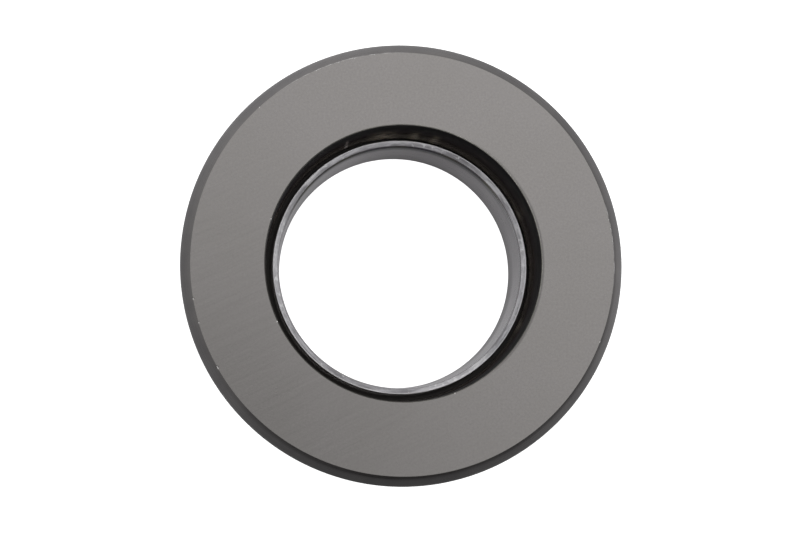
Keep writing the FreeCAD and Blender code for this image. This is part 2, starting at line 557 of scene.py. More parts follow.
def rim_steel():
    """Outer corner and outside cylinder: turned and tumbled, darker than the ground face."""
    mat = Surface("rim_steel")
    turning = mat.lines(mat.mul(mat.z, 7.0), around=2.0, detail=4.0, rough=0.65)
    cloud = mat.noise(mat.pos, scale=0.09, detail=4.0, rough=0.6)
    spot = mat.noise(mat.pos, scale=1.4, detail=3.0, rough=0.6)
    colour = mat.mix(mat.ramp(cloud), (0.375, 0.362, 0.362), (0.44, 0.425, 0.42))
    shade = mat.add(mat.linear(turning, to=(0.94, 1.04)),
                    mat.ramp(spot, over=(0.58, 0.75), to=(0.0, -0.08)))
    # painted highlight, broken up like wear: a thin bright line along part of the housing washer's
    # face edge
    painted_sheen = mat.patches(22.0, 0.0, detail=3.0, rough=0.65)
    span = mat.most(mat.sector((82.0, 100.0), (132.0, 112.0)),
                    mat.sector((-14.0, 2.0), (20.0, 12.0)))
    edge = mat.mul(mat.ramp(mat.z, over=(HEIGHT - 0.10, HEIGHT - 0.02)), span,
                   mat.ramp(painted_sheen, over=(0.36, 0.60), to=(0.15, 0.85)))
    relief = mat.add(turning, mat.mul(spot, 0.4))
    mat.finish(mat.mix(edge, mat.scale(colour, shade), (0.84, 0.83, 0.825)),
               metallic=mat.less(edge, 0.75),
               roughness=mat.linear(turning, to=(0.24, 0.36)),
               normal=mat.bump(relief, strength=0.12, distance=0.00008))


def collar_blend():
    """Rounding between chamfer and bore: bright, with painted shade tinted dark blue and straw on
    the +Y side.
    """
    mat = Surface("collar_blend")
    turning = mat.lines(mat.mul(mat.z, 6.0), around=2.0, detail=3.0, rough=0.6)
    tone = mat.patches(2.4, 0.0, detail=2.0, rough=0.5)
    tint = mat.mix(mat.ramp(tone, over=(0.35, 0.65)), (0.25, 0.24, 0.285), (0.29, 0.285, 0.235))
    # painted shade: the +Y side is dark, as a painted dark reflection
    shaded_side = mat.sector((18.0, 50.0), (168.0, 140.0))
    colour = mat.mix(shaded_side, (0.76, 0.745, 0.76), tint)
    mat.finish(mat.scale(colour, mat.linear(turning, to=(0.92, 1.06))), metallic=1.0,
               roughness=mat.linear(turning, to=(0.22, 0.32)),
               normal=mat.bump(turning, strength=0.12, distance=0.00006))


def collar_top():
    """Narrow flat on top of the collar: turned bright, with small scuffs."""
    mat = Surface("collar_top")
    dash = mat.lines(mat.mul(mat.r, 4.0), around=14.0, detail=3.0, rough=0.65)
    colour = mat.mix(mat.ramp(dash, over=(0.35, 0.68)), (0.70, 0.69, 0.71), (0.95, 0.94, 0.965))
    mat.finish(colour, metallic=0.35, roughness=mat.linear(dash, to=(0.28, 0.44)),
               normal=mat.bump(dash, strength=0.22, distance=0.0001))


def scaled_bore():
    """Housing washer's bore: near-black, partly dark scale and partly painted shade, with faint
    brown tones, faint painted warm glints and one painted light streak down it.
    """
    mat = Surface("scaled_bore")
    brown = mat.patches(4.2, mat.mul(mat.z, 0.22), detail=3.0, rough=0.55)
    turning = mat.lines(mat.mul(mat.z, 5.0), around=2.0, detail=3.0, rough=0.6)
    # near-black base: dark scale with painted shade
    colour = mat.mix(mat.ramp(brown, over=(0.5, 0.8)),
                     (0.0095, 0.0082, 0.0084), (0.017, 0.0142, 0.0125))
    # painted warm glints low on the wall
    glinted = mat.mul(warm_glint_mask(mat, per_mm=0.3), mat.ramp(mat.z, over=(33.0, 27.0)))
    colour = mat.mix(glinted, colour, (0.043, 0.037, 0.030))
    # painted light streak down the wall
    broken = mat.patches(60.0, mat.mul(mat.z, 0.5), detail=3.0, rough=0.6)
    light_streak = mat.mul(mat.ramp(mat.gap(mat.angle, LIGHT_STREAK_ANGLE), over=(1.1, 0.1)),
                    mat.ramp(mat.z, over=(27.0, 33.0), to=(0.9, 0.04)),
                    mat.ramp(broken, over=(0.35, 0.6), to=(0.45, 1.0)))
    colour = mat.mix(light_streak, colour, (0.105, 0.094, 0.090))
    # painted reflection of the bright collar: paler towards the cage
    colour = mat.scale(colour, mat.ramp(mat.z, over=(25.5, 38.0), to=(5.6, 0.75)))
    mat.finish(colour, metallic=0.0,
               roughness=mat.linear(brown, over=(0.3, 0.75), to=(0.55, 0.42)),
               normal=mat.bump(turning, strength=0.15, distance=0.00005))
    mat.put(mat.bsdf.inputs["IOR"], 1.25)
    mat.put(mat.bsdf.inputs["Specular IOR Level"], 0.12)


def bore_edge():
    """Small rounded edge of the housing washer's bore, lighter towards +X +Y."""
    mat = Surface("bore_edge")
    wear = mat.patches(16.0, mat.mul(mat.z, 1.0), detail=3.0, rough=0.6)
    lit = mat.add(0.86, mat.add(mat.mul(mat.ux, 0.16), mat.mul(mat.uy, 0.22)))
    lit = mat.add(lit, mat.mul(mat.sector((-22.0, 4.0), (84.0, 60.0)), 0.20))
    colour = mat.mix(mat.ramp(wear, over=(0.35, 0.7)), (0.29, 0.285, 0.26), (0.43, 0.42, 0.385))
    mat.finish(mat.scale(colour, lit),
               metallic=mat.ramp(lit, over=(0.75, 1.15), to=(1.0, 0.70)),
               roughness=mat.linear(wear, to=(0.30, 0.44)))


def turned_chamfer():
    """Bore chamfers: bright turned steel with tool marks round them, painted highlights on some
    sides and small painted glints.
    """
    mat = Surface("turned_chamfer")
    run = mat.sub(mat.r, mat.z)
    tool_marks = mat.lines(mat.mul(run, 3.4), around=1.6, detail=4.0, rough=0.7)
    dash = mat.lines(mat.mul(run, 2.7), around=4.6, detail=3.0, rough=0.6)
    glint = mat.lines(mat.mul(run, 3.2), around=24.0, detail=2.0, rough=0.6)
    fine = mat.lines(mat.mul(run, 9.0), around=9.0, detail=2.0, rough=0.6)
    # painted highlight on the -X side, the -Y side and, more faintly, the +X side
    painted_lit_sides = mat.most(mat.ramp(mat.math("ABSOLUTE", mat.angle), over=(140.0, 172.0)),
                    mat.sector((-88.0, -70.0), (-34.0, -52.0)),
                    mat.ramp(mat.gap(mat.angle, 4.0), over=(28.0, 8.0), to=(0.0, 0.45)))
    # painted highlight: on the +Y side the chamfer is brighter towards its outer edge
    outward = mat.linear(mat.r, over=(BORE_R + 0.25, BORE_R + COLLAR_CHAMFER_R), to=(-0.35, 1.0))
    edge = mat.mul(mat.sector((55.0, 95.0), (172.0, 150.0)), outward)
    colour = mat.mix(mat.ramp(dash, over=(0.36, 0.66)), (0.50, 0.49, 0.515), (0.94, 0.93, 0.96))
    colour = mat.scale(colour, mat.add(1.0, mat.mul(edge, 0.22)))
    colour = mat.mix(mat.mul(painted_lit_sides, 0.45), colour, (0.95, 0.945, 0.96))
    colour = mat.scale(colour, mat.linear(fine, to=(0.82, 1.10)))
    shine = mat.most(mat.ramp(glint, over=(0.60, 0.74)),
                     mat.mul(painted_lit_sides, mat.ramp(glint, over=(0.50, 0.66))))
    colour = mat.mix(shine, colour, (0.98, 0.975, 0.985))
    matt = mat.add(mat.mul(mat.most(painted_lit_sides, edge), 0.28), mat.mul(shine, 0.30))
    relief = mat.add(tool_marks, mat.mul(dash, 0.45))
    mat.finish(colour, metallic=mat.sub(TURNED_METAL, matt, clamp=True),
               roughness=mat.linear(tool_marks, to=(0.42, 0.55)),
               normal=mat.bump(relief, strength=0.28, distance=0.00012))


def ground_bore():
    """Shaft washer's bore: fine ground, a little violet from the oil film."""
    mat = Surface("ground_bore")
    turning = mat.lines(mat.mul(mat.z, 9.0), around=3.0, detail=3.0, rough=0.6)
    cloud = mat.noise(mat.pos, scale=0.12, detail=3.0, rough=0.6)
    colour = mat.mix(mat.ramp(cloud), (0.64, 0.612, 0.63), (0.70, 0.672, 0.69))
    # painted light: brighter on the +Y side
    painted_sheen = mat.sector((26.0, 62.0), (142.0, 112.0))
    colour = mat.scale(colour, mat.add(1.0, mat.mul(painted_sheen, 0.42)))
    # painted shade: darker towards the bottom, most of all in one sector
    depth = mat.mul(mat.linear(mat.z, over=(1.5, 13.0), to=(0.66, 1.0)),
                    mat.ramp(mat.z, over=(1.5, 3.6), to=(0.62, 1.0)))
    dark = mat.mul(mat.sector((-64.0, -44.0), (20.0, -18.0)), mat.ramp(mat.z, over=(13.0, 7.0)))
    colour = mat.scale(colour, mat.mul(depth, mat.less(dark, 0.42)))
    # painted shade, tinted: dark at the top on the +Y side
    shaded_side = mat.mul(mat.sector((18.0, 50.0), (158.0, 130.0)), mat.ramp(mat.z, over=(18.6, 22.4)))
    colour = mat.mix(mat.mul(shaded_side, 0.80), colour, (0.20, 0.188, 0.205))
    mat.finish(mat.scale(colour, mat.linear(turning, to=(0.95, 1.04))), metallic=TURNED_METAL,
               roughness=mat.linear(turning, to=(0.26, 0.36)),
               normal=mat.bump(turning, strength=0.10, distance=0.00005))


def shoulder_steel():
    """Shoulders beside the raceway: turned and hardened, with a thin film of oil."""
    mat = Surface("shoulder_steel")
    turning = mat.lines(mat.mul(mat.r, 7.0), around=2.0, detail=4.0, rough=0.65)
    colour = mat.mix(mat.ramp(turning), (0.20, 0.188, 0.182), (0.27, 0.258, 0.252))
    # painted shade darkens the foot of the collar; painted light makes the collar's wall paler
    painted_recess_light = mat.add(mat.ramp(mat.r, over=(37.6, 41.0), to=(0.28, 1.0)),
                   mat.ramp(mat.r, over=(36.8, 37.6), to=(2.2, 0.0)))
    mat.finish(mat.scale(colour, painted_recess_light),
               metallic=mat.ramp(mat.r, over=(36.8, 37.7), to=(0.25, 1.0)),
               roughness=mat.linear(turning, to=(0.28, 0.42)),
               normal=mat.bump(turning, strength=0.15, distance=0.00008))


def raceway_steel():
    """Raceway: honed bright, with hair-fine lap lines."""
    mat = Surface("raceway_steel")
    lap = mat.lines(mat.mul(mat.r, 22.0), around=3.0, detail=3.0, rough=0.6)
    mat.finish(mat.mix(mat.ramp(lap), (0.60, 0.595, 0.60), (0.66, 0.655, 0.66)),
               metallic=1.0, roughness=mat.linear(lap, to=(0.09, 0.16)),
               normal=mat.bump(lap, strength=0.05, distance=0.00003))


def ball_steel():
    """Bearing ball: lapped mirror steel with a faint oil haze."""
    mat = Surface("ball_steel")
    haze = mat.noise(mat.pos, scale=0.22, detail=3.0, rough=0.55)
    hair = mat.noise(mat.pos, scale=2.6, detail=4.0, rough=0.7)
    mat.finish(mat.mix(mat.ramp(haze), (0.66, 0.66, 0.67), (0.74, 0.735, 0.74)), metallic=1.0,
               roughness=mat.add(mat.ramp(haze, over=(0.35, 0.75), to=(0.035, 0.085)),
                                 mat.ramp(hair, over=(0.6, 0.75), to=(0.0, 0.05))))


def brass(name, dull, bright, lines_per_mm):
    """Turned brass, tarnished in clouds."""
    mat = Surface(name)
    key = mat.add(mat.mul(mat.r, lines_per_mm), mat.mul(mat.z, lines_per_mm))
    turning = mat.lines(key, around=2.5, detail=4.0, rough=0.65)
    tarnish = mat.noise(mat.pos, scale=0.16, detail=4.0, rough=0.6)
    spot = mat.noise(mat.pos, scale=1.7, detail=2.0, rough=0.6)
    colour = mat.mix(mat.ramp(tarnish, over=(0.35, 0.72)), bright, dull)
    shade = mat.add(mat.linear(turning, to=(0.93, 1.05)),
                    mat.ramp(spot, over=(0.6, 0.78), to=(0.0, -0.12)))
    # the bore wall is dull and oily, with painted warm glints in patches, and scatters what little
    # light gets in
    wall = mat.ramp(mat.r, over=(CAGE_IN_R + 1.0, CAGE_IN_R + 0.6))
    glinted_wall = mat.mix(warm_glint_mask(mat, per_mm=0.8), (0.215, 0.186, 0.166), (1.0, 0.90, 0.76))
    colour = mat.mix(wall, mat.scale(colour, shade), glinted_wall)
    # painted light streak down the wall, at the same angle as on the housing washer's bore
    light_streak = mat.mul(wall, mat.ramp(mat.gap(mat.angle, LIGHT_STREAK_ANGLE), over=(1.1, 0.3)))
    colour = mat.mix(light_streak, colour, (1.0, 0.93, 0.90))
    # painted shade in the inner corners at the top and bottom
    corner = mat.mul(mat.ramp(mat.gap(mat.z, MID), over=(2.7, 3.15)),
                     mat.ramp(mat.r, over=(CAGE_IN_R + 0.75, CAGE_IN_R + 0.6)))
    mat.finish(mat.scale(colour, mat.less(corner, 0.80)),
               metallic=mat.less(wall, 0.85),
               roughness=mat.add(mat.linear(turning, to=(0.20, 0.32)),
                                 mat.ramp(tarnish, over=(0.4, 0.8), to=(0.0, 0.12))),
               normal=mat.bump(turning, strength=0.22, distance=0.00008))


for make_material in (nick_glint_steel, ground_face, rim_steel, collar_blend, collar_top, scaled_bore,
                      bore_edge, turned_chamfer, ground_bore, shoulder_steel, raceway_steel,
                      ball_steel):
    make_material()
brass("cage_brass", dull=(0.42, 0.27, 0.10), bright=(0.60, 0.42, 0.17), lines_per_mm=5.0)
brass("rivet_brass", dull=(0.50, 0.33, 0.13), bright=(0.66, 0.48, 0.22), lines_per_mm=2.0)


# ---------------------------------------------------------------- washers
def groove(up, steps=40):
    """Raceway from inner to outer edge: the shaft washer's (up) or the housing washer's."""
    half = math.degrees(math.asin((GROOVE_HALF - GROOVE_EDGE_IN) / GROOVE_R))
    points = arc((PITCH_R, GROOVE_CENTRE_Z), GROOVE_R, -90 - half, -90 + half, steps,
                 "raceway_steel")
    if not up:
        points = [(r, HEIGHT - z, mat) for r, z, mat in points]
    r, z, _ = points[-1]
    points[-1] = (r, z, "shoulder_steel")
    return points


def big_corner(outer, up, steps=20, support=0.018):
    """Large corner from the outside cylinder to the seat face's edge.

    support is how far before the crisp face edge a support loop lies, as a part of the arc.
    """
    over = FACE_R - (outer - CORNER_R)
    end = math.degrees(math.acos(over / CORNER_R)) * (1 if up else -1)
    rise = math.sqrt(CORNER_R ** 2 - over ** 2)
    centre = (outer - CORNER_R, HEIGHT - rise if up else rise)
    points = arc(centre, CORNER_R, 0, end, steps, "rim_steel")
    points.insert(-1, arc(centre, CORNER_R, 0, end * (1 - support), 1, "rim_steel")[-1])
    r, z, _ = points[-1]
    points[-1] = (r, z, "ground_face")
    return points


# handling nicks on the housing washer's face edges:
# angle, half width in degrees, depth, edge (outer 1, inner 0)
NICKS = [
    (6.0, 0.30, 0.08, 1), (9.5, 0.22, 0.06, 1), (12.0, 0.24, 0.06, 1), (98.0, 0.24, 0.07, 1),
    (103.5, 0.30, 0.08, 1), (108.0, 0.22, 0.05, 1), (114.5, 0.26, 0.07, 1),
    (133.0, 0.30, 0.08, 1), (190.0, 0.34, 0.08, 1), (196.5, 0.24, 0.06, 1),
    (209.5, 0.70, 0.10, 1), (338.0, 0.30, 0.07, 1), (162.0, 0.50, 0.11, 0),
    (205.0, 0.50, 0.10, 0), (291.0, 0.34, 0.07, 0)]
NICK_CORE = 0.55            # part of a nick's half width that is deeply cut
NICK_REACH = 0.20           # how far a nick spreads from the edge
NICK_INNER_R = HOUSING_BORE_R + 0.2
EDGE_LOOPS = (0.12, 0.22, 0.36, 0.60)   # distances of face loops from each edge


def turn_between(angle, at):
    return (angle - at + 180) % 360 - 180


def press_nicks(r, z, angle):
    degrees = np.degrees(angle)
    new_r, new_z = r.copy(), z.copy()
    for at, half, depth, outer in NICKS:
        across = np.exp(-(turn_between(degrees, at) / (NICK_CORE * half)) ** 2)
        distance = np.hypot(r - (FACE_R if outer else NICK_INNER_R), z - HEIGHT)
        amount = across * np.exp(-(distance / NICK_REACH) ** 2)
        new_z -= depth * amount
        new_r -= (1 if outer else -1) * depth * 0.8 * amount
    return new_r, new_z


def bare_nicks(mesh):
    """Gives the seat face's nicked faces the bare metal with its painted glint."""
    mesh.materials.append(MATERIALS["nick_glint_steel"])
    fresh = len(mesh.materials) - 1
    for poly in mesh.polygons:
        centre = poly.center
        if centre.z < (HEIGHT - 0.2) * MM:
            continue
        degrees = math.degrees(math.atan2(centre.y, centre.x))
        radius = math.hypot(centre.x, centre.y) / MM
        for at, half, _, outer in NICKS:
            if outer:
                past = radius - FACE_R
            else:
                past = HOUSING_BORE_R + HOUSING_EDGE - radius
            if abs(turn_between(degrees, at)) < NICK_CORE * half and -0.16 < past < 0.10:
                poly.material_index = fresh


def make_housing():
    edge = HOUSING_EDGE
    under = HEIGHT - SHOULDER
    profile = outline([
        arc((HOUSING_BORE_R + edge, HEIGHT - edge), edge, 90, 180, 8, "bore_edge")[:-1],
        (HOUSING_BORE_R, HEIGHT - edge, "scaled_bore"),
        (HOUSING_BORE_R, under + HOUSING_INNER_CHAMFER, "scaled_bore"),
        (HOUSING_BORE_R + HOUSING_INNER_CHAMFER, under, "shoulder_steel"),
        (PITCH_R - GROOVE_HALF - GROOVE_EDGE_OUT, under, "shoulder_steel"),
        groove(up=False),
        (PITCH_R + GROOVE_HALF + GROOVE_EDGE_OUT, under, "shoulder_steel"),
        arc((OUTER_R - RIM_R, under + RIM_R), RIM_R, -90, 0, 8, "rim_steel"),
        big_corner(OUTER_R, up=True),
        [(FACE_R - d, HEIGHT, "ground_face") for d in EDGE_LOOPS],
        [(HOUSING_BORE_R + edge + d, HEIGHT, "ground_face") for d in reversed(EDGE_LOOPS)],
    ])
    mats = ["ground_face", "rim_steel", "scaled_bore", "bore_edge", "shoulder_steel",
            "raceway_steel"]
    angles = ring_angles(500, [(at, half) for at, half, _, _ in NICKS])
    ob = lathe("housing_washer_body", profile, mats, angles, press_nicks)
    bare_nicks(ob.data)
    return ob


def make_shaft():
    slope = math.radians(CHAMFER_SLOPE)
    chamfer_foot = COLLAR_TOP - COLLAR_CHAMFER_Z
    profile = outline([
        (BORE_R + BOTTOM_CHAMFER, 0.0, "turned_chamfer"),
        (BORE_R, BOTTOM_CHAMFER, "ground_bore"),
        arc((BORE_R + BLEND_R, chamfer_foot - BLEND_LENGTH), BLEND_R, 180, 180 - CHAMFER_SLOPE,
            8, "collar_blend")[:-1],
        (BORE_R + BLEND_LENGTH * math.sin(slope), chamfer_foot + BLEND_LENGTH * math.cos(slope),
         "turned_chamfer"),
        (BORE_R + COLLAR_CHAMFER_R, COLLAR_TOP, "collar_top"),
        arc((COLLAR_R - COLLAR_EDGE_R, COLLAR_TOP - COLLAR_EDGE_R), COLLAR_EDGE_R, 90, 0,
            5, "collar_top")[:-1],
        (COLLAR_R, COLLAR_TOP - COLLAR_EDGE_R, "shoulder_steel"),
        (COLLAR_R, SHOULDER + COLLAR_FOOT_R, "shoulder_steel"),
        arc((COLLAR_R + COLLAR_FOOT_R, SHOULDER + COLLAR_FOOT_R), COLLAR_FOOT_R, 180, 270,
            8, "shoulder_steel"),
        (PITCH_R - GROOVE_HALF - GROOVE_EDGE_OUT, SHOULDER, "shoulder_steel"),
        groove(up=True),
        (PITCH_R + GROOVE_HALF + GROOVE_EDGE_OUT, SHOULDER, "shoulder_steel"),
        arc((SHAFT_OUTER_R - RIM_R, SHOULDER - RIM_R), RIM_R, 90, 0, 8, "rim_steel"),
        big_corner(SHAFT_OUTER_R, up=False),
    ])
    mats = ["ground_face", "rim_steel", "turned_chamfer", "collar_blend", "collar_top",
            "ground_bore", "shoulder_steel", "raceway_steel"]
    return lathe("shaft_washer_body", profile, mats, ring_angles(600))


# ---------------------------------------------------------------- balls
def quad_ball(name, centre, turn, divisions=26):
    """A ball as an even all-quad grid, turned by an angle in radians."""
    bm = bmesh.new()
    bmesh.ops.create_cube(bm, size=2.0)
    bmesh.ops.subdivide_edges(bm, edges=bm.edges[:], cuts=divisions - 1, use_grid_fill=True)
    for vert in bm.verts:
        # even out the cube grid before it goes onto the ball
        place = np.tan(np.array(vert.co) * math.pi / 4)
        vert.co = Vector(place / np.linalg.norm(place) * BALL_R * MM)
    mesh = bpy.data.meshes.new(name)
    bm.to_mesh(mesh)
    bm.free()
    mesh.transform(Matrix.Rotation(turn, 4, Vector((0.3, 0.5, 0.8)).normalized()))
    mesh.materials.append(MATERIALS["ball_steel"])
    shade_smooth(mesh)
    ob = add_object(name, mesh)
    ob.location = centre
    return ob


def make_balls():
    """Balls on the pitch circle at their nodes' angles; returns objects and angles in radians."""
    balls, angles = [], []
    for i, node in enumerate(BALLS):
        lo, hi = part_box(node)
        middle = (lo + hi) / 2
        angle = math.atan2(middle.y, middle.x)
        centre = Vector((PITCH_R * MM * math.cos(angle), PITCH_R * MM * math.sin(angle),
                         MID * MM))
        balls.append(quad_ball(node.replace("ball_", "bearing_ball_"), centre, turn=0.7 * i))
        angles.append(angle)
    return balls, angles


# ---------------------------------------------------------------- cage
def pocket_profile(steps=28, overrun=1.0):
    """Half section of a pocket: a ball shape, flared and run past both cage faces."""
    mouth = math.sqrt(POCKET_R ** 2 - (CAGE_HALF - POCKET_FLARE) ** 2) + POCKET_FLARE
    reach = math.asin((CAGE_HALF - POCKET_FLARE) / POCKET_R)
    points = [(0.0, MID - CAGE_HALF - overrun),
              (mouth + overrun, MID - CAGE_HALF - overrun),
              (mouth, MID - CAGE_HALF)]
    for k in range(steps + 1):
        angle = -reach + 2 * reach * k / steps
        points.append((POCKET_R * math.cos(angle), MID + POCKET_R * math.sin(angle)))
    return points + [(mouth, MID + CAGE_HALF),
                     (mouth + overrun, MID + CAGE_HALF + overrun),
                     (0.0, MID + CAGE_HALF + overrun)]


def make_cutter(angles, rivet_spots, hole_reach=6):
    """All pockets and rivet holes as one cutting body."""
    bottom, top = MID - hole_reach, MID + hole_reach
    hole = [(0, bottom), (RIVET_HOLE_R, bottom), (RIVET_HOLE_R, top), (0, top)]
    bm = bmesh.new()
    for angle, spot in zip(angles, rivet_spots):
        add_turned(bm, pocket_profile(), 128,
                   (PITCH_R * math.cos(angle), PITCH_R * math.sin(angle)))
        add_turned(bm, hole, 48, spot)
    return to_object("tool", bm, "cage_brass")


def make_cage_half(name, side, cutter):
    """Upper (side 1) or lower (side -1) ring of the cage, cut by the cutter."""
    top = MID + side * CAGE_HALF
    joint_z = MID + side * CAGE_JOINT_CHAMFER
    shoulder_z = top - side * CAGE_CHAMFER
    corners = [
        (CAGE_IN_R + CAGE_JOINT_CHAMFER, MID), (CAGE_OUT_R - CAGE_JOINT_CHAMFER, MID),
        (CAGE_OUT_R, joint_z), (CAGE_OUT_R, shoulder_z),
        (CAGE_OUT_R - CAGE_CHAMFER, top), (CAGE_IN_R + CAGE_CHAMFER, top),
        (CAGE_IN_R, shoulder_z), (CAGE_IN_R, joint_z)]
    profile = outline([(r, z, "cage_brass") for r, z in corners], pad=0.05)
    # the wide flat faces keep plain edges, so that the pockets cut them cleanly
    inner, outer = CAGE_IN_R + CAGE_CHAMFER + 0.2, CAGE_OUT_R - CAGE_CHAMFER - 0.2
    profile = [p for p in profile if not (inner < p[0] < outer)]
    ring = lathe(name, profile, ["cage_brass"], ring_angles(480))
    cut = ring.modifiers.new("pockets", "BOOLEAN")
    cut.operation = "DIFFERENCE"
    cut.solver = "EXACT"
    cut.object = cutter
    depsgraph = bpy.context.evaluated_depsgraph_get()
    mesh = bpy.data.meshes.new_from_object(ring.evaluated_get(depsgraph), depsgraph=depsgraph)
    ring.modifiers.clear()
    ring.data = mesh
    mark_sharp(mesh, degrees=24, weld=2e-7)
    return ring


def make_rivets(spots, dome_steps=10, lip=0.12, inset=0.03, lip_height=0.05):
    """Rivets: a shank with a domed head and small lip at each end."""
    dome_r = (RIVET_HEAD_R ** 2 + RIVET_HEAD_H ** 2) / (2 * RIVET_HEAD_H)
    limit = math.asin((RIVET_HEAD_R - lip) / dome_r)
    tip = CAGE_HALF + RIVET_HEAD_H
    # half profile from the tip inward: radius, distance from the cage's middle
    half = [(0.0, tip)]
    for k in range(1, dome_steps + 1):
        angle = limit * k / dome_steps
        half.append((dome_r * math.sin(angle), tip - dome_r * (1 - math.cos(angle))))
    half += [(RIVET_HEAD_R - inset, CAGE_HALF + lip_height), (RIVET_HEAD_R - inset, CAGE_HALF),
             (RIVET_R, CAGE_HALF)]
    profile = [(r, MID - d) for r, d in half] + [(r, MID + d) for r, d in reversed(half)]
    bm = bmesh.new()
    for spot in spots:
        add_turned(bm, profile, 40, spot)
    ob = to_object("cage_rivet_set", bm, "rivet_brass")
    mark_sharp(ob.data, degrees=30)
    return ob


# ---------------------------------------------------------------- bodies
def stand_for(ob, node):
    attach(ob, frame["nodes"][node]["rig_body"])
    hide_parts(node)


housing = make_housing()
shaft = make_shaft()
balls, ball_angles = make_balls()
# a rivet half way between each ball and the next
between = [angle + math.pi / len(BALLS) for angle in ball_angles]
rivet_spots = [(RIVET_CIRCLE_R * math.cos(a), RIVET_CIRCLE_R * math.sin(a)) for a in between]
cutter = make_cutter(ball_angles, rivet_spots)
upper = make_cage_half("cage_upper_ring", 1, cutter)
lower = make_cage_half("cage_lower_ring", -1, cutter)
bpy.data.objects.remove(cutter)
rivets = make_rivets(rivet_spots)

stand_for(housing, "housing_washer")
stand_for(shaft, "shaft_washer")
stand_for(upper, "cage_upper_half")
stand_for(lower, "cage_lower_half")
stand_for(rivets, "cage_rivets")
for ball, node in zip(balls, BALLS):
    stand_for(ball, node)


# ---------------------------------------------------------------- floor
def floor_material():
    """Plain white from above; low cameras see a soft shadow close to the ring."""
    material = bpy.data.materials.new("floor")
    material.use_nodes = True
    mat = Tree(material.node_tree)
    out = mat.new("ShaderNodeOutputMaterial")
    x, y, _ = mat.xyz(mat.new("ShaderNodeTexCoord").outputs["Object"])
    full = 0.86     # glow away from the ring
    glow = mat.ramp(mat.hypot(x, y), over=(0.10, 0.30), to=(0.22, full))
    glow = mat.add(glow, mat.mul(mat.sub(full, glow), mat.overhead((0.0, 0.0, 1.0))))
    diffuse = mat.new("ShaderNodeBsdfDiffuse")
    diffuse.inputs["Color"].default_value = (0.82, 0.82, 0.82, 1)
    emission = mat.new("ShaderNodeEmission")
    emission.inputs["Color"].default_value = (1, 1, 1, 1)
    mat.put(emission.inputs["Strength"], glow)
    lit = mat.make("ShaderNodeAddShader", diffuse.outputs[0], emission.outputs[0])
    # from below the floor is clear, so that the underside can be seen
    below = mat.new("ShaderNodeNewGeometry").outputs["Backfacing"]
    clear = mat.new("ShaderNodeBsdfTransparent").outputs[0]
    mat.put(out.inputs[0], mat.make("ShaderNodeMixShader", below, lit, clear))
    return material


def make_floor():
    """A disc 12 m in radius, just under the bearing."""
    mesh = bpy.data.meshes.new("floor")
    bm = bmesh.new()
    bmesh.ops.create_circle(bm, cap_ends=True, radius=12.0, segments=96)
    bm.to_mesh(mesh)
    bm.free()
    mesh.materials.append(floor_material())
    floor = add_object("floor", mesh)
    floor.location.z = -0.00004
    floor.visible_glossy = False
    floor.visible_diffuse = False
    floor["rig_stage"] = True


make_floor()

# ---------------------------------------------------------------- studio
# brightness straight up, and its slope towards +X and +Y
TOP_LEVEL, TOP_X, TOP_Y = 0.408, 0.22, 0.42
# soft patches overhead: x, y, size, amount
TOP_PATCHES = [(0.08, 0.16, 0.075, 0.065), (-0.06, -0.06, 0.10, -0.28)]
# brightness round the object at mid height and near the horizon: degrees, value
MID_BAND = [(0, .20), (30, .225), (60, .31), (90, .43), (120, .52), (150, .28), (180, .30),
            (210, .19), (240, .03), (270, .015), (300, .04), (330, .065), (360, .20)]
LOW_BAND = [(0, .42), (30, .33), (60, .33), (90, .46), (120, .46), (150, .30), (180, .24),
            (210, .23), (240, .12), (270, .09), (300, .125), (330, .22), (360, .42)]
# round soft boxes for low cameras: right, up, towards the viewer, inner and outer angle, amount
TENT_BOXES = [(-0.70, 0.80, 0.70, 10, 34, 1.45), (0.55, 0.80, 0.60, 6, 22, 0.55),
              (-0.36, 0.60, -0.72, 5, 44, 0.50)]
# upright strips or dark flags: angle from the viewer, positive to the right, core, fade, amount
STRIPS = [(-70.0, 10.0, 24.0, 1.05), (96.0, 6.0, 18.0, 0.70), (14.0, 8.0, 48.0, -0.13),
          (-152.0, 8.0, 22.0, 0.40)]


def round_table(sky, azimuth, values):
    """Brightness by azimuth (0 to 1 round the object) from (degrees, value) pairs."""
    node = sky.new("ShaderNodeValToRGB")
    node.color_ramp.interpolation = "B_SPLINE"
    stops = node.color_ramp.elements
    while len(stops) > 1:
        stops.remove(stops[-1])
    for k, (degrees, value) in enumerate(values):
        place = degrees / 360.0
        stop = stops[0] if k == 0 else stops.new(place)
        stop.position = place
        stop.color = (value, value, value, 1.0)
    sky.put(node.inputs[0], azimuth)
    return node.outputs[0]


def overhead_light(sky, x, y, z, tilt):
    """Studio for cameras above: a sloping top over two bands that vary round the object."""
    turn = sky.math("DIVIDE", sky.math("ARCTAN2", y, x), 2 * math.pi)
    azimuth = sky.math("FRACT", sky.add(turn, 1.0))
    top = sky.add(TOP_LEVEL, sky.mul(x, TOP_X), sky.mul(y, TOP_Y))
    for patch_x, patch_y, size, amount in TOP_PATCHES:
        dx, dy = sky.sub(x, patch_x), sky.sub(y, patch_y)
        square = sky.add(sky.mul(dx, dx), sky.mul(dy, dy))
        falloff = sky.math("EXPONENT", sky.mul(square, -1.0 / (size * size)))
        top = sky.add(top, sky.mul(falloff, amount))
    middle = round_table(sky, azimuth, MID_BAND)
    low = round_table(sky, azimuth, LOW_BAND)
    light = sky.ramp(tilt, over=(22.0, 38.0), to=(top, middle))
    return sky.ramp(tilt, over=(58.0, 80.0), to=(light, low))


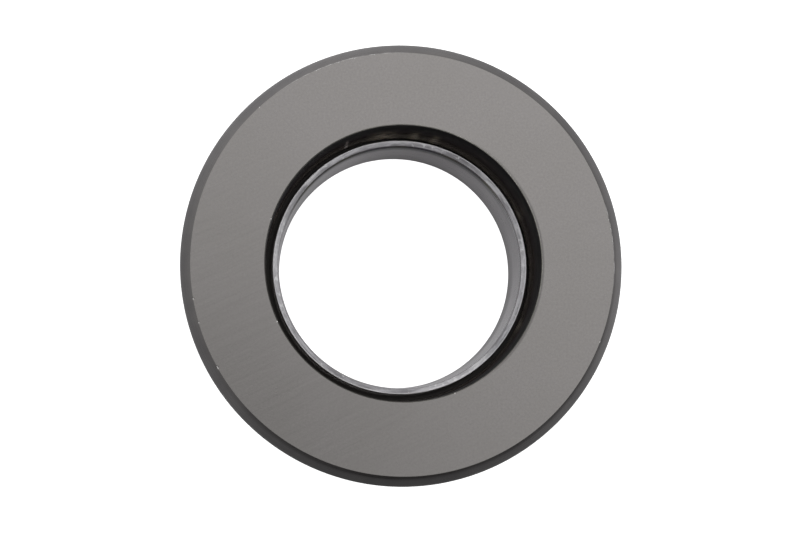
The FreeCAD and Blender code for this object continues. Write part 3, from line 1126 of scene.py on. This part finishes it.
def low_light(sky, x, y, z, flat, tilt):
    """Rounder light for low cameras: an even tent with strips and boxes that follow the viewer."""
    view = sky.xyz(sky.to_space(sky.join(0.0, 0.0, 1.0), "CAMERA", "WORLD"))
    run = sky.most(sky.hypot(view[0], view[1]), 0.001)
    view_x, view_y = sky.math("DIVIDE", view[0], run), sky.math("DIVIDE", view[1], run)
    side_x, side_y = sky.math("DIVIDE", x, flat), sky.math("DIVIDE", y, flat)
    toward = sky.mul(sky.add(sky.mul(side_x, view_x), sky.mul(side_y, view_y)), -1.0)
    right = sky.sub(sky.mul(side_x, view_y), sky.mul(side_y, view_x))
    turned = sky.degrees(right, toward)
    tent = sky.mul(sky.ramp(tilt, over=(0.0, 92.0), to=(0.52, 0.27)),
                   sky.ramp(tilt, over=(96.0, 140.0), to=(1.0, 0.62)))
    bars = 0.0
    for at, core, fade, amount in STRIPS:
        bar = sky.ramp(sky.gap(turned, at), over=(core + fade, core), to=(0.0, amount))
        bars = sky.add(bars, bar)
    upright = sky.mul(sky.ramp(tilt, over=(30.0, 62.0)), sky.ramp(tilt, over=(150.0, 112.0)))
    tent = sky.add(tent, sky.mul(bars, upright))
    seen = sky.to_space(sky.join(x, y, z), "WORLD", "CAMERA")
    for dx, dy, dz, inner, outer, amount in TENT_BOXES:
        length = math.sqrt(dx * dx + dy * dy + dz * dz)
        facing = sky.dot(seen, (dx / length, dy / length, -dz / length))
        span = (math.cos(math.radians(outer)), math.cos(math.radians(inner)))
        tent = sky.add(tent, sky.ramp(facing, over=span, to=(0.0, amount)))
    return sky.most(tent, 0.02)


def make_world():
    """The steel reflects the studio; the camera itself sees plain white."""
    world = bpy.data.worlds.new("studio")
    bpy.context.scene.world = world
    world.use_nodes = True
    sky = Tree(world.node_tree)
    out = sky.new("ShaderNodeOutputWorld")
    x, y, z = sky.xyz(sky.new("ShaderNodeTexCoord").outputs["Generated"])
    flat = sky.most(sky.hypot(x, y), 0.0001)
    tilt = sky.degrees(flat, z)     # 0 straight up, 90 at the horizon
    overhead = sky.overhead(sky.join(0.0, 0.0, 1.0))
    above = sky.mul(overhead_light(sky, x, y, z, tilt), overhead)
    low = sky.mul(low_light(sky, x, y, z, flat, tilt), sky.sub(1.0, overhead))
    tint = sky.mix(sky.ramp(tilt, over=(20.0, 95.0)), (1.0, 0.985, 0.975), (0.985, 0.985, 1.0))
    studio = sky.make("ShaderNodeBackground", tint, sky.add(above, low))
    white = sky.make("ShaderNodeBackground", (1, 1, 1, 1), 1.1)
    camera_ray = sky.new("ShaderNodeLightPath").outputs["Is Camera Ray"]
    sky.put(out.inputs[0], sky.make("ShaderNodeMixShader", camera_ray, studio, white))


def softbox(name, location, target, size, power):
    """A disc light that stays out of reflections and only shades the floor and matt surfaces."""
    light = bpy.data.lights.new(name, "AREA")
    light.shape = "DISK"
    light.size = size
    light.energy = power
    ob = add_object(name, light)
    ob.location = location
    ob.rotation_mode = "QUATERNION"
    aim = Vector(target) - Vector(location)
    ob.rotation_quaternion = aim.to_track_quat("-Z", "Y")
    ob.visible_glossy = False


make_world()
softbox("overhead", location=(0.0, 0.0, 1.6), target=(0, 0, 0.02), size=1.2, power=18.0)

# ---------------------------------------------------------------- camera
LENS = 67.5
SENSOR_WIDTH = 36.0
AXIS_X, AXIS_Y = 0.0775, 0.0815             # the bearing's axis in camera coordinates
CAMERA_DISTANCE = 0.4190                    # metres along the view to the top face's centre
CENTRE_RIGHT, CENTRE_UP = 0.00295, 0.00278  # that centre's offsets, as parts of the distance


def make_camera():
    """Looks down nearly along the bearing's axis."""
    data = bpy.data.cameras.new("camera")
    data.sensor_width = SENSOR_WIDTH
    data.lens = LENS
    data.clip_start, data.clip_end = 0.01, 50.0
    camera = add_object("camera", data)
    axis = Vector((AXIS_X, AXIS_Y, math.sqrt(1 - AXIS_X * AXIS_X - AXIS_Y * AXIS_Y)))
    to_world = Vector((0, 0, 1)).rotation_difference(axis).to_matrix().transposed()
    face_centre = Vector((CENTRE_RIGHT * CAMERA_DISTANCE, CENTRE_UP * CAMERA_DISTANCE,
                          -CAMERA_DISTANCE))
    location = Vector((0, 0, HEIGHT * MM)) - to_world @ face_centre
    camera.matrix_world = Matrix.Translation(location) @ to_world.to_4x4()
    bpy.context.scene.camera = camera


make_camera()
bpy.context.scene.view_settings.view_transform = "Standard"
bpy.context.scene.view_settings.look = "None"
